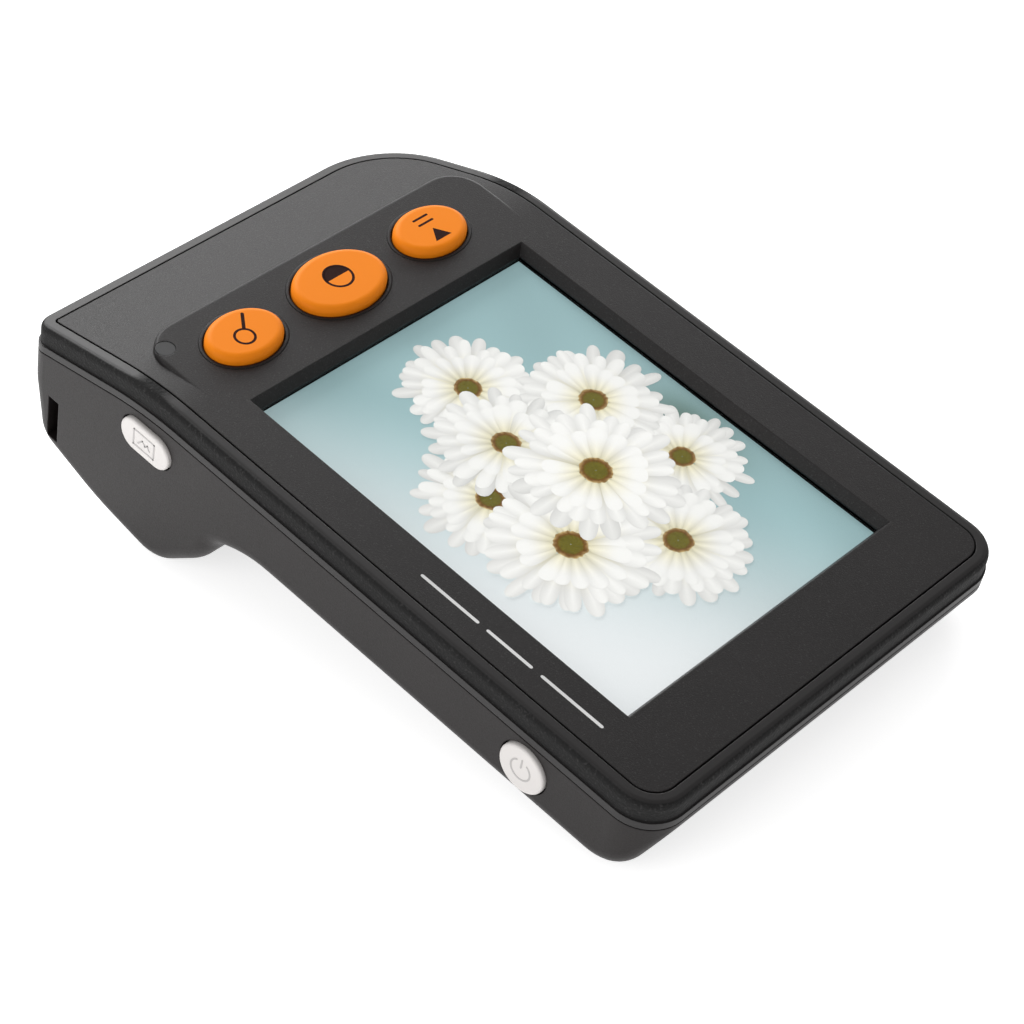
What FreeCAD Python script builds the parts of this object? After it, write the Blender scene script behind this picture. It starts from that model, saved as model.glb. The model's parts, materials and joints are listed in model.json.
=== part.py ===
import FreeCAD, Part
import math
import os
import Sketcher

# Handheld electronic magnifier for low vision: a screen on a thin body, with a deep grip at one end.
# Work frame, mm: x runs from the grip end to the far end, y from the side with the two keys,
# z up from the lowest corner of the grip. "down" below is a depth under the flat screen face.

driving = {
    "caseLength": 125.65, "caseWidth": 78.2, "gripDepth": 34.0, "bodyDepth": 16.5,
    "bandDepth": 4.95, "stripDepth": 1.45, "bandStep": 0.3, "rimWidth": 2.4, "seamGap": 0.3,
    "wall": 1.8, "coverSkin": 2.0, "ledgeWidth": 2.0, "seatGap": 0.2,
    "endCorner": 6.5, "farCorner": 15.4, "taperLength": 25.5, "taperDrop": 5.87, "taperRound": 60.0,
    "nearCorner": 3.2, "bandRound": 1.1, "soleRound": 2.6,
    "crestStart": 25.3, "crestDrop": 5.93, "crestRound": 60.0,
    "heelIn": 2.5, "heelRise": 6.4, "archIn": 15.9, "archRise": 2.1, "toeIn": 29.9,
    "flankIn": 39.2, "flankRise": 8.4, "notchIn": 42.0, "notchDrop": 3.0, "brimIn": 48.8, "endSlant": 4.3,
    "heelTop": 20.0, "endStrip": 1.0, "partGap": 0.2, "partLip": 0.8,
    "heelRound": 5.0, "archRound": 45.0, "toeRound": 8.0, "flankRound": 15.0, "notchRound": 5.0,
    "brimRound": 20.0,
    "raisedIn": 17.0, "raisedLength": 15.7, "raisedSide": 5.7, "raisedCorner": 6.0, "raisedEdge": 0.7,
    "viewLength": 73.1, "viewWidth": 55.1, "viewEndGap": 15.35, "bevelWidth": 1.0, "bevelDown": 1.8,
    "windowLap": 1.3, "windowThick": 0.5, "windowDown": 2.4, "seatWall": 1.2,
    "gasketThick": 0.2, "gasketWidth": 1.1,
    "panelLength": 77.9, "panelWidth": 64.9, "panelThick": 1.1, "lightThick": 1.3, "trayWall": 0.4,
    "buttonIn": 26.2, "buttonPitch": 19.4, "buttonShift": -1.25, "buttonProud": 1.5, "buttonEdge": 1.1,
    "bigLong": 16.5, "bigShort": 12.2, "smallLong": 13.1, "smallShort": 10.0,
    "buttonGap": 0.16, "flangeLap": 0.7, "flangeThick": 0.8, "flangeGap": 0.1, "buttonTravel": 0.5,
    "plungerRadius": 1.6, "plungerLength": 1.5, "plungerGap": 0.05, "plungerEnd": 0.2, "switchSide": 6.0,
    "ledIn": 20.8, "ledSide": 7.9, "ledRadius": 1.5,
    "boardDown": 7.3, "boardThick": 1.2,
    "keyDown": 10.0, "keyProud": 0.6, "keyGap": 0.25, "keyTravel": 0.5, "keyEdge": 0.4,
    "modeIn": 26.6, "modeLength": 10.4, "modeHeight": 5.8, "powerIn": 103.7, "powerRadius": 4.05,
    "sideSwitchLength": 6.0, "sideSwitchDepth": 2.7, "sideSwitchHeight": 4.6, "switchRest": 0.25,
    "lensIn": 71.4, "lensRadius": 3.0, "lensLength": 3.6, "holderSide": 9.0, "holderHeight": 3.0,
    "sensorBoardThick": 0.5, "sensorThick": 0.6, "sensorSide": 5.0,
    "portRadius": 15.0, "portLap": 2.0, "portThick": 0.9, "lampCircle": 9.2, "lampSide": 3.0,
    "lampThick": 0.7, "lampBoardThick": 0.8, "shroudRadius": 5.4, "shroudWall": 0.6,
    "cellRadius": 9.1, "cellLength": 65.0, "cellIn": 22.5, "cellDown": 21.0, "cellGap": 0.15,
    "socketWidth": 7.6, "socketHeight": 2.8, "socketLength": 5.6, "socketIn": 61.7, "socketClear": 0.3,
    "screwRadius": 1.0, "screwLength": 8.0, "headRadius": 1.9, "headThick": 1.3, "bossRadius": 2.8,
    "bossSplitDown": 9.6, "heelSplitDown": 12.5, "bossRoot": 1.0,
    "screwEndGap": 8.35, "screwEndSide": 9.0, "screwHeelIn": 7.9,
    "screwHeelNear": 14.0, "screwHeelFar": 46.0,
    "ribThick": 1.6, "ribStart": 2.0, "contactThick": 0.4, "contactSide": 9.0, "tongueSide": 4.0,
    "boardIn": 15.5, "boardEndGap": 12.15, "boardClear": 0.15, "chipIn": 17.2, "postRadius": 1.7,
    "postIn": 47.7, "postEndGap": 17.95, "postSide": 9.0,
    "footRadius": 4.0, "footProud": 0.7, "footSunk": 0.7, "footSide": 20.0,
    "strapIn": 4.8, "strapWidth": 2.3, "strapTop": 17.7, "strapLength": 8.3, "strapBlock": 8.6,
}

doc = FreeCAD.newDocument("LowVisionMagnifier")
sheet = doc.addObject("Spreadsheet::Sheet", "Sizes")
for row, (alias, value) in enumerate(driving.items(), start=1):
    sheet.set("A%d" % row, alias)
    sheet.set("B%d" % row, str(value))
    sheet.setAlias("B%d" % row, alias)
doc.recompute()


class Size:
    """A length that knows its value and the sheet formula it comes from."""

    def __init__(self, value, text):
        self.value, self.text = value, text

    def join(self, other, sign, value):
        return Size(value, "(%s %s %s)" % (self.text, sign, asSize(other).text))

    def __add__(self, other):
        return self.join(other, "+", self.value + asSize(other).value)

    def __sub__(self, other):
        return self.join(other, "-", self.value - asSize(other).value)

    def __mul__(self, other):
        return self.join(other, "*", self.value * asSize(other).value)

    def __truediv__(self, other):
        return self.join(other, "/", self.value / asSize(other).value)

    def __radd__(self, other):
        return asSize(other) + self

    def __rsub__(self, other):
        return asSize(other) - self

    def __rmul__(self, other):
        return asSize(other) * self

    def __neg__(self):
        return asSize(0) - self


def asSize(number):
    return number if isinstance(number, Size) else Size(float(number), "(%r)" % float(number))


def atLeast(size, floor):
    return Size(max(size.value, floor), "max(%s; %r)" % (size.text, float(floor)))


def squareRoot(size):
    return Size(math.sqrt(size.value), "sqrt(%s)" % size.text)


class Sheet:
    """Gives each cell of the sheet as a Size: sheetSizes.wall, sheetSizes.caseLength."""

    def __getattr__(self, alias):
        return Size(driving[alias], "Sizes." + alias)


d = Sheet()
pieces = []


def bind(item, path, size):
    item.setExpression(path, asSize(size).text)


def newBody(label):
    body = doc.addObject("PartDesign::Body", label)
    body.Label = label
    body.AllowCompound = True
    return body


def piece(label):
    """A body that is one named piece of the magnifier."""
    body = newBody(label)
    pieces.append(body)
    return body


def planeOf(body, role):
    return next(item for item in body.Origin.OriginFeatures if item.Role == role)


def polygon(body, name, role, corners, lift=0):
    """A closed sketch through the corners, each held by its two distances from the origin."""
    sketch = body.newObject("Sketcher::SketchObject", name)
    sketch.AttachmentSupport = [(planeOf(body, role), "")]
    sketch.MapMode = "FlatFace"
    bind(sketch, "AttachmentOffset.Base.z", lift)
    count = len(corners)
    spots = [FreeCAD.Vector(asSize(a).value, asSize(b).value, 0) for a, b in corners]
    for i in range(count):
        sketch.addGeometry(Part.LineSegment(spots[i], spots[(i + 1) % count]), False)
    for i in range(count):
        sketch.addConstraint(Sketcher.Constraint("Coincident", i, 2, (i + 1) % count, 1))
    for i, corner in enumerate(corners):
        for kind, size in zip(("DistanceX", "DistanceY"), corner):
            index = sketch.addConstraint(Sketcher.Constraint(kind, -1, 1, i, 1, asSize(size).value))
            sketch.renameConstraint(index, "%s%d" % (kind[-1], i))
            bind(sketch, "Constraints.%s%d" % (kind[-1], i), size)
    return sketch


def pad(body, sketch, length, turned=False):
    feature = body.newObject("PartDesign::Pad", sketch.Name + "Pad")
    feature.Profile = sketch
    feature.Reversed = turned
    bind(feature, "Length", length)
    doc.recompute()
    return feature


def edgesThrough(feature, spots, tolerance=1e-3):
    """Names of the straight edges that pass through any of the given points."""
    names = []
    for number, edge in enumerate(feature.Shape.Edges, start=1):
        near = any(edge.distToShape(Part.Vertex(spot))[0] < tolerance for spot in spots)
        if near and isinstance(edge.Curve, Part.Line):
            names.append("Edge%d" % number)
    return names


def roundOff(body, names, radius):
    if not names:
        raise ValueError("no edge to round on " + body.Label)
    feature = body.newObject("PartDesign::Fillet", body.Name + "Round")
    feature.Base = (body.Tip if body.Tip != feature else feature.BaseFeature, names)
    bind(feature, "Radius", radius)
    body.Tip = feature
    doc.recompute()
    return feature


def combine(body, other, kind):
    """Cut, common or fuse of a body with a helper body."""
    before = body.Shape.Volume
    feature = body.newObject("PartDesign::Boolean", body.Name + kind)
    feature.setObjects([other])
    feature.Type = kind
    body.Tip = feature
    doc.recompute()
    if abs(body.Shape.Volume - before) < 1e-6:
        raise ValueError("%s changed nothing on %s" % (kind, body.Label))
    return feature


def sized(body, kind, name, sizes, place, turn=None):
    """A PartDesign primitive with bound sizes and place; turn is (axis, degrees)."""
    feature = body.newObject("PartDesign::" + kind, name)
    for path, size in sizes.items():
        bind(feature, path, size)
    if turn:
        feature.Placement = FreeCAD.Placement(FreeCAD.Vector(), FreeCAD.Rotation(*turn))
    for axis, size in zip("xyz", place):
        bind(feature, "Placement.Base." + axis, size)
    return feature


upZ, upX, upY = None, (FreeCAD.Vector(0, 1, 0), 90), (FreeCAD.Vector(1, 0, 0), -90)


def block(body, x, y, z, length, width, height, cut=False):
    kind = "SubtractiveBox" if cut else "AdditiveBox"
    return sized(body, kind, body.Name + "Box",
                 {"Length": length, "Width": width, "Height": height}, (x, y, z))


def rod(body, x, y, z, radius, length, along=upZ, cut=False):
    kind = "SubtractiveCylinder" if cut else "AdditiveCylinder"
    return sized(body, kind, body.Name + "Rod", {"Radius": radius, "Height": length}, (x, y, z), along)


def down(size):
    """Height of a depth under the screen face."""
    return d.gripDepth - size


def planBody(name, inset):
    """A tall prism on the outline seen from above, drawn in by inset; the far long side tapers in."""
    body = newBody(name)
    low, high, far = inset, d.caseWidth - inset, d.caseLength - inset
    slope = d.taperDrop / d.taperLength
    lean = squareRoot(slope * slope + 1)
    taperIn = d.taperLength + inset * (lean - 1) / slope
    taperHigh = d.caseWidth - d.taperDrop + slope * inset - inset * lean
    corners = ((inset, low, d.nearCorner), (far, low, d.endCorner), (far, high, d.endCorner),
               (taperIn, high, d.taperRound), (inset, taperHigh, d.farCorner))
    sketch = polygon(body, name + "Outline", "XY_Plane", [spot[:2] for spot in corners], -5)
    pad(body, sketch, d.gripDepth + 15)
    for x, y, radius in corners:
        spot = FreeCAD.Vector(asSize(x).value, asSize(y).value, 5)
        roundOff(body, edgesThrough(body.Tip, [spot]), atLeast(radius - inset, 0.5))
    return body


def roundProfile(body, sketch, rounds):
    """Rounds the padded edges over the numbered corners of a side profile."""
    depth = body.Shape.BoundBox.Center.y
    for number, radius in rounds.items():
        corner = sketch.Geometry[number].StartPoint
        spot = FreeCAD.Vector(corner.x, depth, corner.y)
        roundOff(body, edgesThrough(body.Tip, [spot]), radius)


def crestSlab(body, name, upper, lower):
    """A slab under the screen face that falls away over the grip, between two depths."""
    start, end = asSize(0), d.caseLength
    sketch = polygon(body, name, "XZ_Plane", [
        (start, down(d.crestDrop + upper)), (d.crestStart, down(upper)), (end, down(upper)),
        (end, down(lower)), (d.crestStart, down(lower)), (start, down(d.crestDrop + lower))])
    pad(body, sketch, d.caseWidth, turned=True)
    roundProfile(body, sketch, {1: d.crestRound, 4: d.crestRound})


def gripProfile(inset):
    """Side view of the rear shell from the parting line down, drawn in by inset."""
    sole = down(d.bodyDepth - inset)
    return [
        (inset, down(d.crestDrop + d.bandDepth)), (d.crestStart, down(d.bandDepth)),
        (d.caseLength - inset, down(d.bandDepth)), (d.caseLength - inset, down(d.bandDepth + d.endStrip)),
        (d.caseLength - d.endSlant - inset, sole), (d.brimIn - inset * 0.2, sole),
        (d.notchIn - inset * 0.75, down(d.bodyDepth + d.notchDrop - inset * 0.75)),
        (d.flankIn - inset * 0.8, d.flankRise + inset * 0.4), (d.toeIn - inset * 0.6, inset * 1.2),
        (d.archIn, d.archRise + inset), (d.heelIn + inset, d.heelRise + inset * 0.9),
        (inset, d.heelTop)]


def roundCenter(before, corner, after, radius):
    """Centre of the arc that rounds a corner, in the side view."""
    a, b = (before - corner).normalize(), (after - corner).normalize()
    return corner + (a + b).normalize() * (radius / math.sin(a.getAngle(b) / 2))


def stanceOf():
    """Tilt of the case on a table, and the centres of the two rounded edges that it stands on."""
    spots = [FreeCAD.Vector(x.value, 0, z.value) for x, z in
             [(asSize(x), asSize(z)) for x, z in gripProfile(asSize(0))]]
    end = roundCenter(spots[3], spots[4], spots[5], driving["toeRound"])
    toe = roundCenter(spots[7], spots[8], spots[9], driving["toeRound"])
    return math.atan2(end.z - toe.z, end.x - toe.x), toe, end


tilt, toeCenter, endCenter = stanceOf()


def rimNames(shape, facing):
    """Names of the edges around the faces that look mostly along facing."""
    faces = []
    for face in shape.Faces:
        low, high, left, right = face.ParameterRange
        if face.normalAt((low + high) / 2, (left + right) / 2).dot(facing) > 0.7:
            faces.append(face)
    names = []
    for number, edge in enumerate(shape.Edges, start=1):
        if sum(edge.isSame(other) for face in faces for other in face.Edges) == 1:
            names.append("Edge%d" % number)
    return names


def fallAt(x):
    """How far the cover has fallen away at x, over the grip."""
    return d.crestDrop * (d.crestStart - x) / d.crestStart


def screwSpots():
    """Each case screw: x, y, depth where the two bosses meet, depth of the upper boss's root."""
    endRoot = asSize(0) + d.bossRoot
    heelRoot = fallAt(d.screwHeelIn) + d.bossRoot
    endIn = d.caseLength - d.screwEndGap
    return ((endIn, d.screwEndSide, d.bossSplitDown, endRoot),
            (endIn, d.caseWidth - d.screwEndSide, d.bossSplitDown, endRoot),
            (d.screwHeelIn, d.screwHeelNear, d.heelSplitDown, heelRoot),
            (d.screwHeelIn, d.screwHeelFar, d.heelSplitDown, heelRoot))


def postSpots():
    ends = d.postIn, d.caseLength - d.postEndGap
    return [(x, y) for x in ends for y in (d.postSide, d.caseWidth - d.postSide)]


viewStart = d.caseLength - d.viewEndGap - d.viewLength
viewLow = (d.caseWidth - d.viewWidth) / 2
panelStart = viewStart + (d.viewLength - d.panelLength) / 2
panelLow = (d.caseWidth - d.panelWidth) / 2
panelDown = d.windowDown + d.windowThick + d.gasketThick
trayDown = panelDown + d.panelThick + d.lightThick
boardUnder = d.boardDown + d.boardThick
plungerDown = d.coverSkin + d.flangeGap + d.flangeThick
switchDown = plungerDown + d.buttonTravel + d.switchRest
sideSwitchIn = d.wall + d.flangeGap + d.flangeThick + d.keyTravel + d.switchRest
boardSide = sideSwitchIn + d.sideSwitchDepth + d.boardClear
midY = d.caseWidth / 2
buttonRow = [("zoom", -1, d.smallLong, d.smallShort), ("contrast", 0, d.bigLong, d.bigShort),
             ("freeze", 1, d.smallLong, d.smallShort)]


def buttonY(place):
    return midY + d.buttonShift + d.buttonPitch * place


def oval(body, x, y, z, long, short, height, cut=False):
    """An elliptic pad or pocket, longer along y."""
    sketch = body.newObject("Sketcher::SketchObject", body.Name + "Oval")
    sketch.AttachmentSupport = [(planeOf(body, "XY_Plane"), "")]
    sketch.MapMode = "FlatFace"
    bind(sketch, "AttachmentOffset.Base.z", z)
    center = FreeCAD.Vector(asSize(x).value, asSize(y).value, 0)
    half, narrow = asSize(long).value / 2, asSize(short).value / 2
    sketch.addGeometry(Part.Ellipse(center + FreeCAD.Vector(0, half, 0),
                                    center + FreeCAD.Vector(-narrow, 0, 0), center), False)
    sketch.exposeInternalGeometry(0)
    limits = [("DistanceX", (-1, 1, 0, 3), x), ("DistanceY", (-1, 1, 0, 3), y),
              ("Distance", (1,), long), ("Distance", (2,), short)]
    sketch.addConstraint(Sketcher.Constraint("Vertical", 1))
    for number, (kind, ends, size) in enumerate(limits):
        index = sketch.addConstraint(Sketcher.Constraint(kind, *ends, asSize(size).value))
        sketch.renameConstraint(index, "oval%d" % number)
        bind(sketch, "Constraints.oval%d" % number, size)
    feature = body.newObject("PartDesign::" + ("Pocket" if cut else "Pad"), body.Name + "OvalPad")
    feature.Profile = sketch
    feature.Reversed = False
    bind(feature, "Length", height)
    doc.recompute()
    return feature


def frontCover():
    """Bezel plate with a raised flat for the buttons, which stays level where the plate falls away."""
    body = piece("front_cover")
    crestSlab(body, "coverSlab", asSize(0), d.coverSkin)
    combine(body, planBody("coverPlan", d.rimWidth + d.seamGap), "Common")
    combine(body, raisedFlat(), "Fuse")
    inner, low = d.raisedIn + d.wall, d.raisedSide + d.wall
    block(body, inner, low, down(d.coverSkin + 4), d.raisedLength, d.caseWidth - 2 * low, 4, cut=True)
    viewCuts(body)
    for x, y, split, root in screwSpots():
        rod(body, x, y, down(split), d.bossRadius, split - root)
    for x, y, split, root in screwSpots():
        rod(body, x, y, down(split), d.screwRadius, d.screwLength - 3, cut=True)
    rod(body, d.ledIn, d.ledSide, down(5), d.ledRadius + 0.02, 8, cut=True)
    for name, place, long, short in buttonRow:
        oval(body, d.buttonIn, buttonY(place), down(-1), long + 2 * d.buttonGap,
             short + 2 * d.buttonGap, d.coverSkin + 4, cut=True)
    return body


def raisedFlat():
    """The level field around the buttons, with its soft edge."""
    raised = newBody("raisedFlat")
    wide = d.caseWidth - 2 * d.raisedSide
    block(raised, d.raisedIn, d.raisedSide, down(d.coverSkin + 2), d.raisedLength, wide, d.coverSkin + 2)
    doc.recompute()
    for y in (d.raisedSide, d.raisedSide + wide):
        spot = FreeCAD.Vector(d.raisedIn.value, y.value, down(2).value)
        roundOff(raised, edgesThrough(raised.Tip, [spot]), d.raisedCorner)
    far = (d.raisedIn + d.raisedLength).value - 0.01
    edges = raised.Shape.Edges
    rim = [name for name in rimNames(raised.Shape, FreeCAD.Vector(0, 0, 1))
           if edges[int(name[4:]) - 1].CenterOfMass.x < far]
    roundOff(raised, rim, d.raisedEdge)
    return raised


def viewCuts(body):
    """Screen opening with its sloping border, and the walled seat for the window under it."""
    lap = d.windowLap + d.seamGap
    rim = lap + d.seatWall
    block(body, viewStart - rim, viewLow - rim, down(d.windowDown + d.windowThick),
          d.viewLength + 2 * rim, d.viewWidth + 2 * rim, d.windowDown + d.windowThick - d.coverSkin / 2)
    block(body, viewStart, viewLow, down(4), d.viewLength, d.viewWidth, 5, cut=True)
    wide = 2 * d.bevelWidth
    sized(body, "SubtractiveWedge", "viewBevel", {
        "Xmin": 0, "Xmax": d.viewLength + wide, "Zmin": 0, "Zmax": d.viewWidth + wide,
        "X2min": d.bevelWidth, "X2max": d.viewLength + d.bevelWidth,
        "Z2min": d.bevelWidth, "Z2max": d.viewWidth + d.bevelWidth, "Ymin": 0, "Ymax": d.bevelDown},
        (viewStart - d.bevelWidth, viewLow - d.bevelWidth, down(0)), (FreeCAD.Vector(1, 0, 0), -90))
    block(body, viewStart - lap, viewLow - lap, down(d.windowDown + 3),
          d.viewLength + 2 * lap, d.viewWidth + 2 * lap, 3, cut=True)


def ringFrame():
    """Band around the cover: a textured slope above a plain strip, and a ledge that carries the cover."""
    body = piece("ring_frame")
    crestSlab(body, "band", asSize(0), d.bandDepth - d.stripDepth)
    combine(body, planBody("bandPlan", d.bandStep), "Common")
    roundOff(body, rimNames(body.Shape, FreeCAD.Vector(0, 0, 1)), d.bandRound)
    layers = ("strip", asSize(0), d.bandDepth - d.partGap), ("lip", d.partLip, d.bandDepth)
    for name, inset, lower in layers:
        strip = newBody(name)
        crestSlab(strip, name + "Slab", d.bandDepth - d.stripDepth, lower)
        combine(strip, planBody(name + "Plan", inset), "Common")
        combine(body, strip, "Fuse")
    seat = newBody("seat")
    crestSlab(seat, "seatSlab", asSize(-3), d.coverSkin + d.seatGap)
    combine(seat, planBody("seatPlan", d.rimWidth), "Common")
    combine(body, seat, "Cut")
    combine(body, planBody("throughPlan", d.rimWidth + d.ledgeWidth), "Cut")
    return body


def rearHousing():
    """Lower shell: thin body with a deep grip, keys on one side, camera port, feet and strap slot."""
    body = piece("rear_housing")
    sketch = polygon(body, "shell", "XZ_Plane", gripProfile(asSize(0)))
    pad(body, sketch, d.caseWidth, turned=True)
    roundProfile(body, sketch, {1: d.crestRound, 4: d.toeRound, 5: d.brimRound, 6: d.notchRound,
                                7: d.flankRound, 8: d.toeRound, 9: d.archRound, 10: d.heelRound})
    combine(body, planBody("shellPlan", asSize(0)), "Common")
    roundOff(body, soleEdges(body.Shape), d.soleRound)
    combine(body, cavity(), "Cut")
    rod(body, d.cellIn, 3, down(d.cellDown), d.cellRadius + d.cellGap, d.caseWidth - 6, upY, cut=True)
    for x, y, split, root in screwSpots():
        rod(body, x, y, down(split + 3), d.screwRadius + 0.2, 3, cut=True)
        rod(body, x, y, -1, d.headRadius + 0.2, down(split + 3) + 1, cut=True)
    for x, y in postSpots():
        rod(body, x, y, down(boardUnder + 4), 0.6, 4, cut=True)
    rod(body, d.lensIn, midY, down(d.bodyDepth + 1), d.portRadius - d.portLap, 6, cut=True)
    rod(body, d.lensIn, midY, down(d.bodyDepth + 1), d.portRadius + 0.1, d.portThick + 1.1, cut=True)
    keyOpening(body, d.modeIn, (d.modeLength - d.modeHeight) / 2, d.modeHeight / 2)
    keyOpening(body, d.powerIn, asSize(0), d.powerRadius)
    around = d.socketClear
    socketFoot = down(boardUnder + d.socketHeight + around)
    block(body, d.socketIn - d.socketWidth / 2 - around, d.caseWidth - 4, socketFoot,
          d.socketWidth + 2 * around, 6, d.socketHeight + 2 * around, cut=True)
    slotLow, reach = down(d.strapTop + d.strapLength), d.strapIn + d.strapWidth + 1
    block(body, d.strapIn, -1, slotLow, d.strapWidth, reach, d.strapLength, cut=True)
    block(body, -1, d.strapIn, slotLow, reach, d.strapWidth, d.strapLength, cut=True)
    for center in (toeCenter, endCenter):
        for y in footRows():
            foot(body, center, y, 0.05, cut=True)
    return body


def soleEdges(shape):
    """Edges where the upright walls meet the sole, the heel and the slanted end."""
    names = []
    for number, edge in enumerate(shape.Edges, start=1):
        owners = [face for face in shape.Faces if any(edge.isSame(other) for other in face.Edges)]
        upright = [abs(middleNormal(face).z) < 1e-4 for face in owners]
        if sorted(upright) == [False, True] and all(middleNormal(face).z < 0.5 for face in owners):
            names.append("Edge%d" % number)
    return names


def middleNormal(face):
    low, high, left, right = face.ParameterRange
    return face.normalAt((low + high) / 2, (left + right) / 2)


def cavity():
    """Inside of the rear shell, less the bosses, ribs and corner block that stay in it."""
    body = newBody("cavity")
    corners = gripProfile(d.wall)
    open1, open2 = (corners[0][0], down(-5)), (corners[2][0], down(-5))
    pad(body, polygon(body, "cavitySide", "XZ_Plane", [open1, open2] + corners[3:]), d.caseWidth, turned=True)
    combine(body, planBody("cavityPlan", d.wall), "Common")
    for x, y, split, root in screwSpots():
        rod(body, x, y, -1, d.bossRadius, down(split) + 1, cut=True)
    for x, y in postSpots():
        rod(body, x, y, 0, d.postRadius, down(boardUnder), cut=True)
    rib, cellLow = d.ribThick, midY - d.cellLength / 2
    for y in (cellLow - 1.3 - rib, cellLow + 12, midY - rib / 2, cellLow + d.cellLength - 12,
              cellLow + d.cellLength + 1.3):
        block(body, 0, y, -1, d.flankIn, rib, down(d.cellDown + d.ribStart) + 1, cut=True)
    block(body, -1, -1, 0, d.strapBlock + 1, d.strapBlock + 1, down(d.strapTop - 1.4), cut=True)
    return body


def keyOpening(body, x, half, radius):
    """Hole in the side wall for a key, and the pocket behind it for the key's flange."""
    for start, depth, extra in ((-1, d.wall + 1, d.keyGap), (d.wall, 1 + d.flangeThick + d.keyTravel, 1.0)):
        keyShape(body, x, half, radius + extra, start, depth, cut=True)


def keyShape(body, x, half, radius, start, depth, cut=False):
    """A round or long-round key form, lying along y."""
    for side in ((-1, 1) if half.value > 0 else (0,)):
        rod(body, x + half * side, start, down(d.keyDown), radius, depth, upY, cut)
    if half.value > 0:
        block(body, x - half, start, down(d.keyDown) - radius, half * 2, depth, radius * 2, cut)


def sideKey(name, x, half, radius):
    """Grey key in the side wall, held in by its flange."""
    body = piece(name + "_key")
    inner = d.wall + d.flangeGap
    keyShape(body, x, half, radius, -d.keyProud, d.keyProud + inner)
    doc.recompute()
    roundOff(body, rimNames(body.Shape, FreeCAD.Vector(0, -1, 0)), d.keyEdge)
    keyShape(body, x, half, radius + 0.8, inner, d.flangeThick)
    plunger = piece(name + "_plunger")
    rod(plunger, x, inner + d.flangeThick, down(d.keyDown), d.plungerRadius, d.plungerLength, upY)


def pushButton(name, place, long, short):
    """Oval button with a rounded top edge, its flange and the plunger that it pushes."""
    body = piece(name + "_button")
    y = buttonY(place)
    lap = 2 * d.flangeLap
    oval(body, d.buttonIn, y, down(d.coverSkin + d.flangeGap), long, short,
         d.buttonProud + d.coverSkin + d.flangeGap)
    roundOff(body, rimNames(body.Shape, FreeCAD.Vector(0, 0, 1)), d.buttonEdge)
    oval(body, d.buttonIn, y, down(plungerDown), long + lap, short + lap, d.flangeThick)
    plunger = piece(name + "_plunger")
    rod(plunger, d.buttonIn, y, down(plungerDown + d.plungerLength), d.plungerRadius, d.plungerLength)


def switches():
    """Bodies of the push switches under the buttons and beside the keys."""
    body = piece("button_switches")
    half, hole = d.switchSide / 2, d.plungerRadius + d.plungerGap
    for name, place, long, short in buttonRow:
        y = buttonY(place)
        block(body, d.buttonIn - half, y - half, down(d.boardDown), d.switchSide, d.switchSide,
              d.boardDown - switchDown)
    for name, place, long, short in buttonRow:
        bottom = plungerDown + d.plungerLength + d.buttonTravel + d.plungerEnd
        rod(body, d.buttonIn, buttonY(place), down(bottom), hole, 5, cut=True)
    side = piece("side_switches")
    for x in (d.modeIn, d.powerIn):
        block(side, x - d.sideSwitchLength / 2, sideSwitchIn, down(d.keyDown + d.sideSwitchHeight / 2),
              d.sideSwitchLength, d.sideSwitchDepth, d.sideSwitchHeight)
    for x in (d.modeIn, d.powerIn):
        depth = d.plungerLength - d.switchRest + d.plungerEnd
        rod(side, x, sideSwitchIn - 1, down(d.keyDown), hole, depth + 1, upY, cut=True)


def display():
    """Window, gasket, panel, backlight, tray and the foam pads that press it up."""
    window = piece("display_window")
    lap = d.windowLap
    block(window, viewStart - lap, viewLow - lap, down(d.windowDown + d.windowThick),
          d.viewLength + 2 * lap, d.viewWidth + 2 * lap, d.windowThick)
    gasket = piece("window_gasket")
    frameOf(gasket, viewStart - lap, viewLow - lap, d.viewLength + 2 * lap, d.viewWidth + 2 * lap,
            panelDown, d.gasketThick, d.gasketWidth)
    panel = piece("lcd_panel")
    block(panel, panelStart, panelLow, down(panelDown + d.panelThick),
          d.panelLength, d.panelWidth, d.panelThick)
    light = piece("backlight")
    block(light, panelStart, panelLow, down(trayDown), d.panelLength, d.panelWidth, d.lightThick)
    tray = piece("lcd_tray")
    wall = d.trayWall
    block(tray, panelStart - wall, panelLow - wall, down(trayDown + wall),
          d.panelLength + 2 * wall, d.panelWidth + 2 * wall, trayDown - panelDown + wall)
    block(tray, panelStart, panelLow, down(trayDown), d.panelLength, d.panelWidth, 9, cut=True)
    block(tray, panelStart + d.panelLength - 1, midY - 10, down(panelDown + 1.2), 3, 20, 3, cut=True)
    pads = piece("display_pads")
    for x in (panelStart + 6, panelStart + d.panelLength - 18):
        for y in (panelLow + 12, panelLow + d.panelWidth - 22):
            block(pads, x, y, down(d.boardDown), 8, 10, d.boardDown - trayDown - wall)


def frameOf(body, x, y, length, width, bottom, thick, border):
    block(body, x, y, down(bottom), length, width, thick)
    block(body, x + border, y + border, down(bottom + 1), length - 2 * border, width - 2 * border,
          thick + 2, cut=True)


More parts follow.
